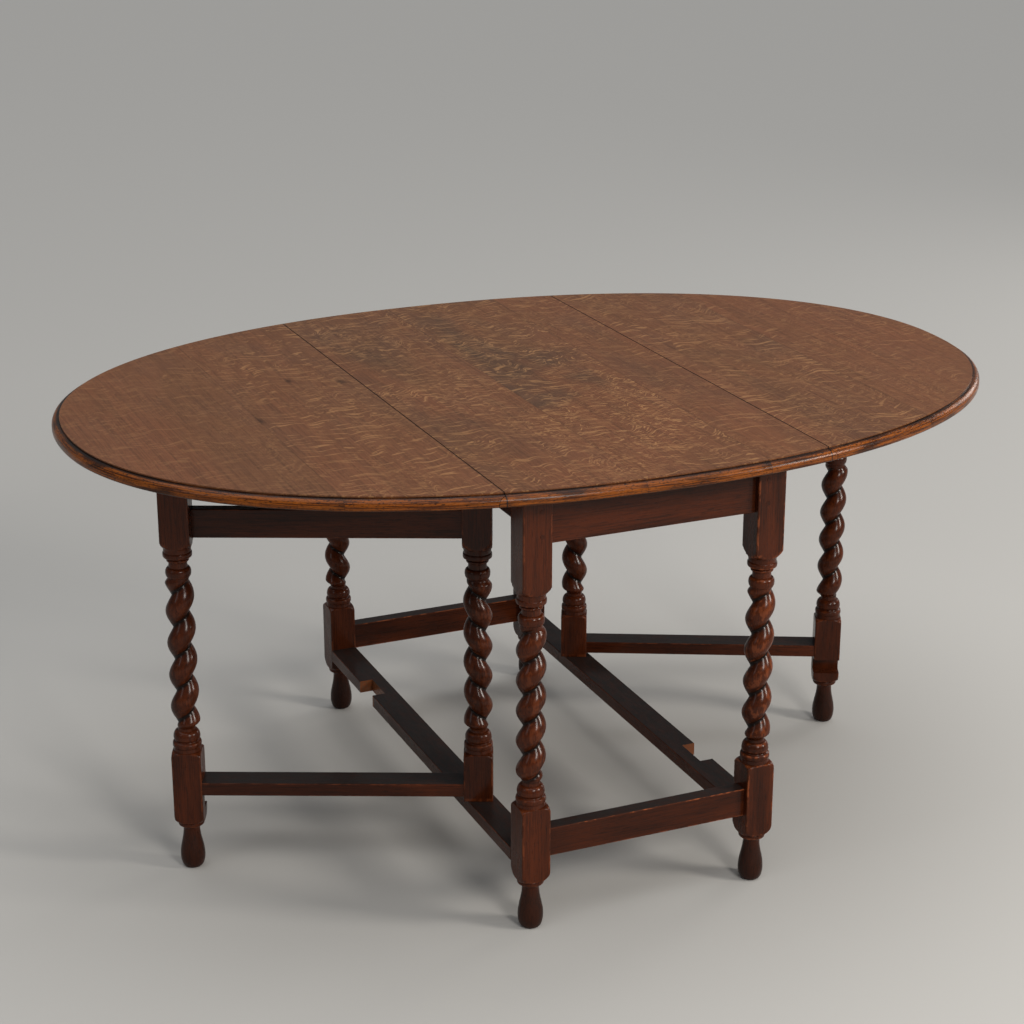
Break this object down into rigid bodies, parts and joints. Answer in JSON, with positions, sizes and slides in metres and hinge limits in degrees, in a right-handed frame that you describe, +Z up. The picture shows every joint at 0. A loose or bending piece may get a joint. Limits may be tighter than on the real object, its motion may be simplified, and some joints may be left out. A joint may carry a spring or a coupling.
{
  "type": "gateleg table",
  "caption": "Oval drop-leaf oak table on barley-twist legs, with swinging gates that prop the two leaves level.",
  "frame": {"origin": "on the floor under the centre of the oval top", "axes": "+X through both leaves towards the right leaf, +Y along the hinge lines towards the back end, +Z up"},
  "size_m": [1.5641, 1.088, 0.74],
  "materials": {
    "top_oak": "satin",
    "frame_oak": "semi-gloss varnish",
    "peg_oak": "satin",
    "plain_softwood": "matt",
    "hinge_iron": "blackened",
    "screw_steel": "dulled"
  },
  "bodies": {
    "table_frame": {"centre_left_board": "top_oak", "centre_middle_board": "top_oak", "centre_right_board": "top_oak", "front_left_leg": "frame_oak", "front_right_leg": "frame_oak", "back_left_leg": "frame_oak", "back_right_leg": "frame_oak", "front_apron": "frame_oak", "back_apron": "frame_oak", "left_side_rail": "frame_oak", "right_side_rail": "frame_oak", "front_stretcher": "frame_oak", "back_stretcher": "frame_oak", "left_stretcher": "frame_oak", "right_stretcher": "frame_oak", "apron_pegs": "peg_oak", "glue_blocks": "plain_softwood", "top_fixing_screws": "screw_steel", "panel_hinge_screws": "screw_steel", "left_front_hinge_panel_plate": "hinge_iron", "left_front_hinge_pin": "hinge_iron", "left_middle_hinge_panel_plate": "hinge_iron", "left_middle_hinge_pin": "hinge_iron", "left_back_hinge_panel_plate": "hinge_iron", "left_back_hinge_pin": "hinge_iron", "right_front_hinge_panel_plate": "hinge_iron", "right_front_hinge_pin": "hinge_iron", "right_middle_hinge_panel_plate": "hinge_iron", "right_middle_hinge_pin": "hinge_iron", "right_back_hinge_panel_plate": "hinge_iron", "right_back_hinge_pin": "hinge_iron"},
    "left_leaf": {"left_leaf_inner_board": "top_oak", "left_leaf_outer_board": "top_oak", "left_front_hinge_leaf_plate": "hinge_iron", "left_middle_hinge_leaf_plate": "hinge_iron", "left_back_hinge_leaf_plate": "hinge_iron", "left_leaf_hinge_screws": "screw_steel", "left_gate_stop": "frame_oak", "left_gate_stop_screws": "screw_steel"},
    "right_leaf": {"right_leaf_inner_board": "top_oak", "right_leaf_outer_board": "top_oak", "right_front_hinge_leaf_plate": "hinge_iron", "right_middle_hinge_leaf_plate": "hinge_iron", "right_back_hinge_leaf_plate": "hinge_iron", "right_leaf_hinge_screws": "screw_steel", "right_gate_stop": "frame_oak", "right_gate_stop_screws": "screw_steel"},
    "left_gate": {"left_gate_pivot_post": "frame_oak", "left_gate_leg": "frame_oak", "left_gate_upper_rail": "frame_oak", "left_gate_lower_rail": "frame_oak"},
    "right_gate": {"right_gate_pivot_post": "frame_oak", "right_gate_leg": "frame_oak", "right_gate_upper_rail": "frame_oak", "right_gate_lower_rail": "frame_oak"}
  },
  "joints": [
    {"name": "left_gate_pivot", "type": "hinge", "parent": "table_frame", "child": "left_gate", "pos_m": [-0.194, -0.237, 0.127], "axis": [0, 0, 1], "range_deg": [-66.1, 0]},
    {"name": "right_gate_pivot", "type": "hinge", "parent": "table_frame", "child": "right_gate", "pos_m": [0.194, 0.237, 0.127], "axis": [0, 0, 1], "range_deg": [-64.2, 0]},
    {"name": "left_leaf_hinge", "type": "hinge", "parent": "table_frame", "child": "left_leaf", "pos_m": [-0.263, 0, 0.7235], "axis": [0, 1, 0], "range_deg": [0, 2]},
    {"name": "right_leaf_hinge", "type": "hinge", "parent": "table_frame", "child": "right_leaf", "pos_m": [0.263, 0, 0.7235], "axis": [0, -1, 0], "range_deg": [0, 2]}
  ]
}
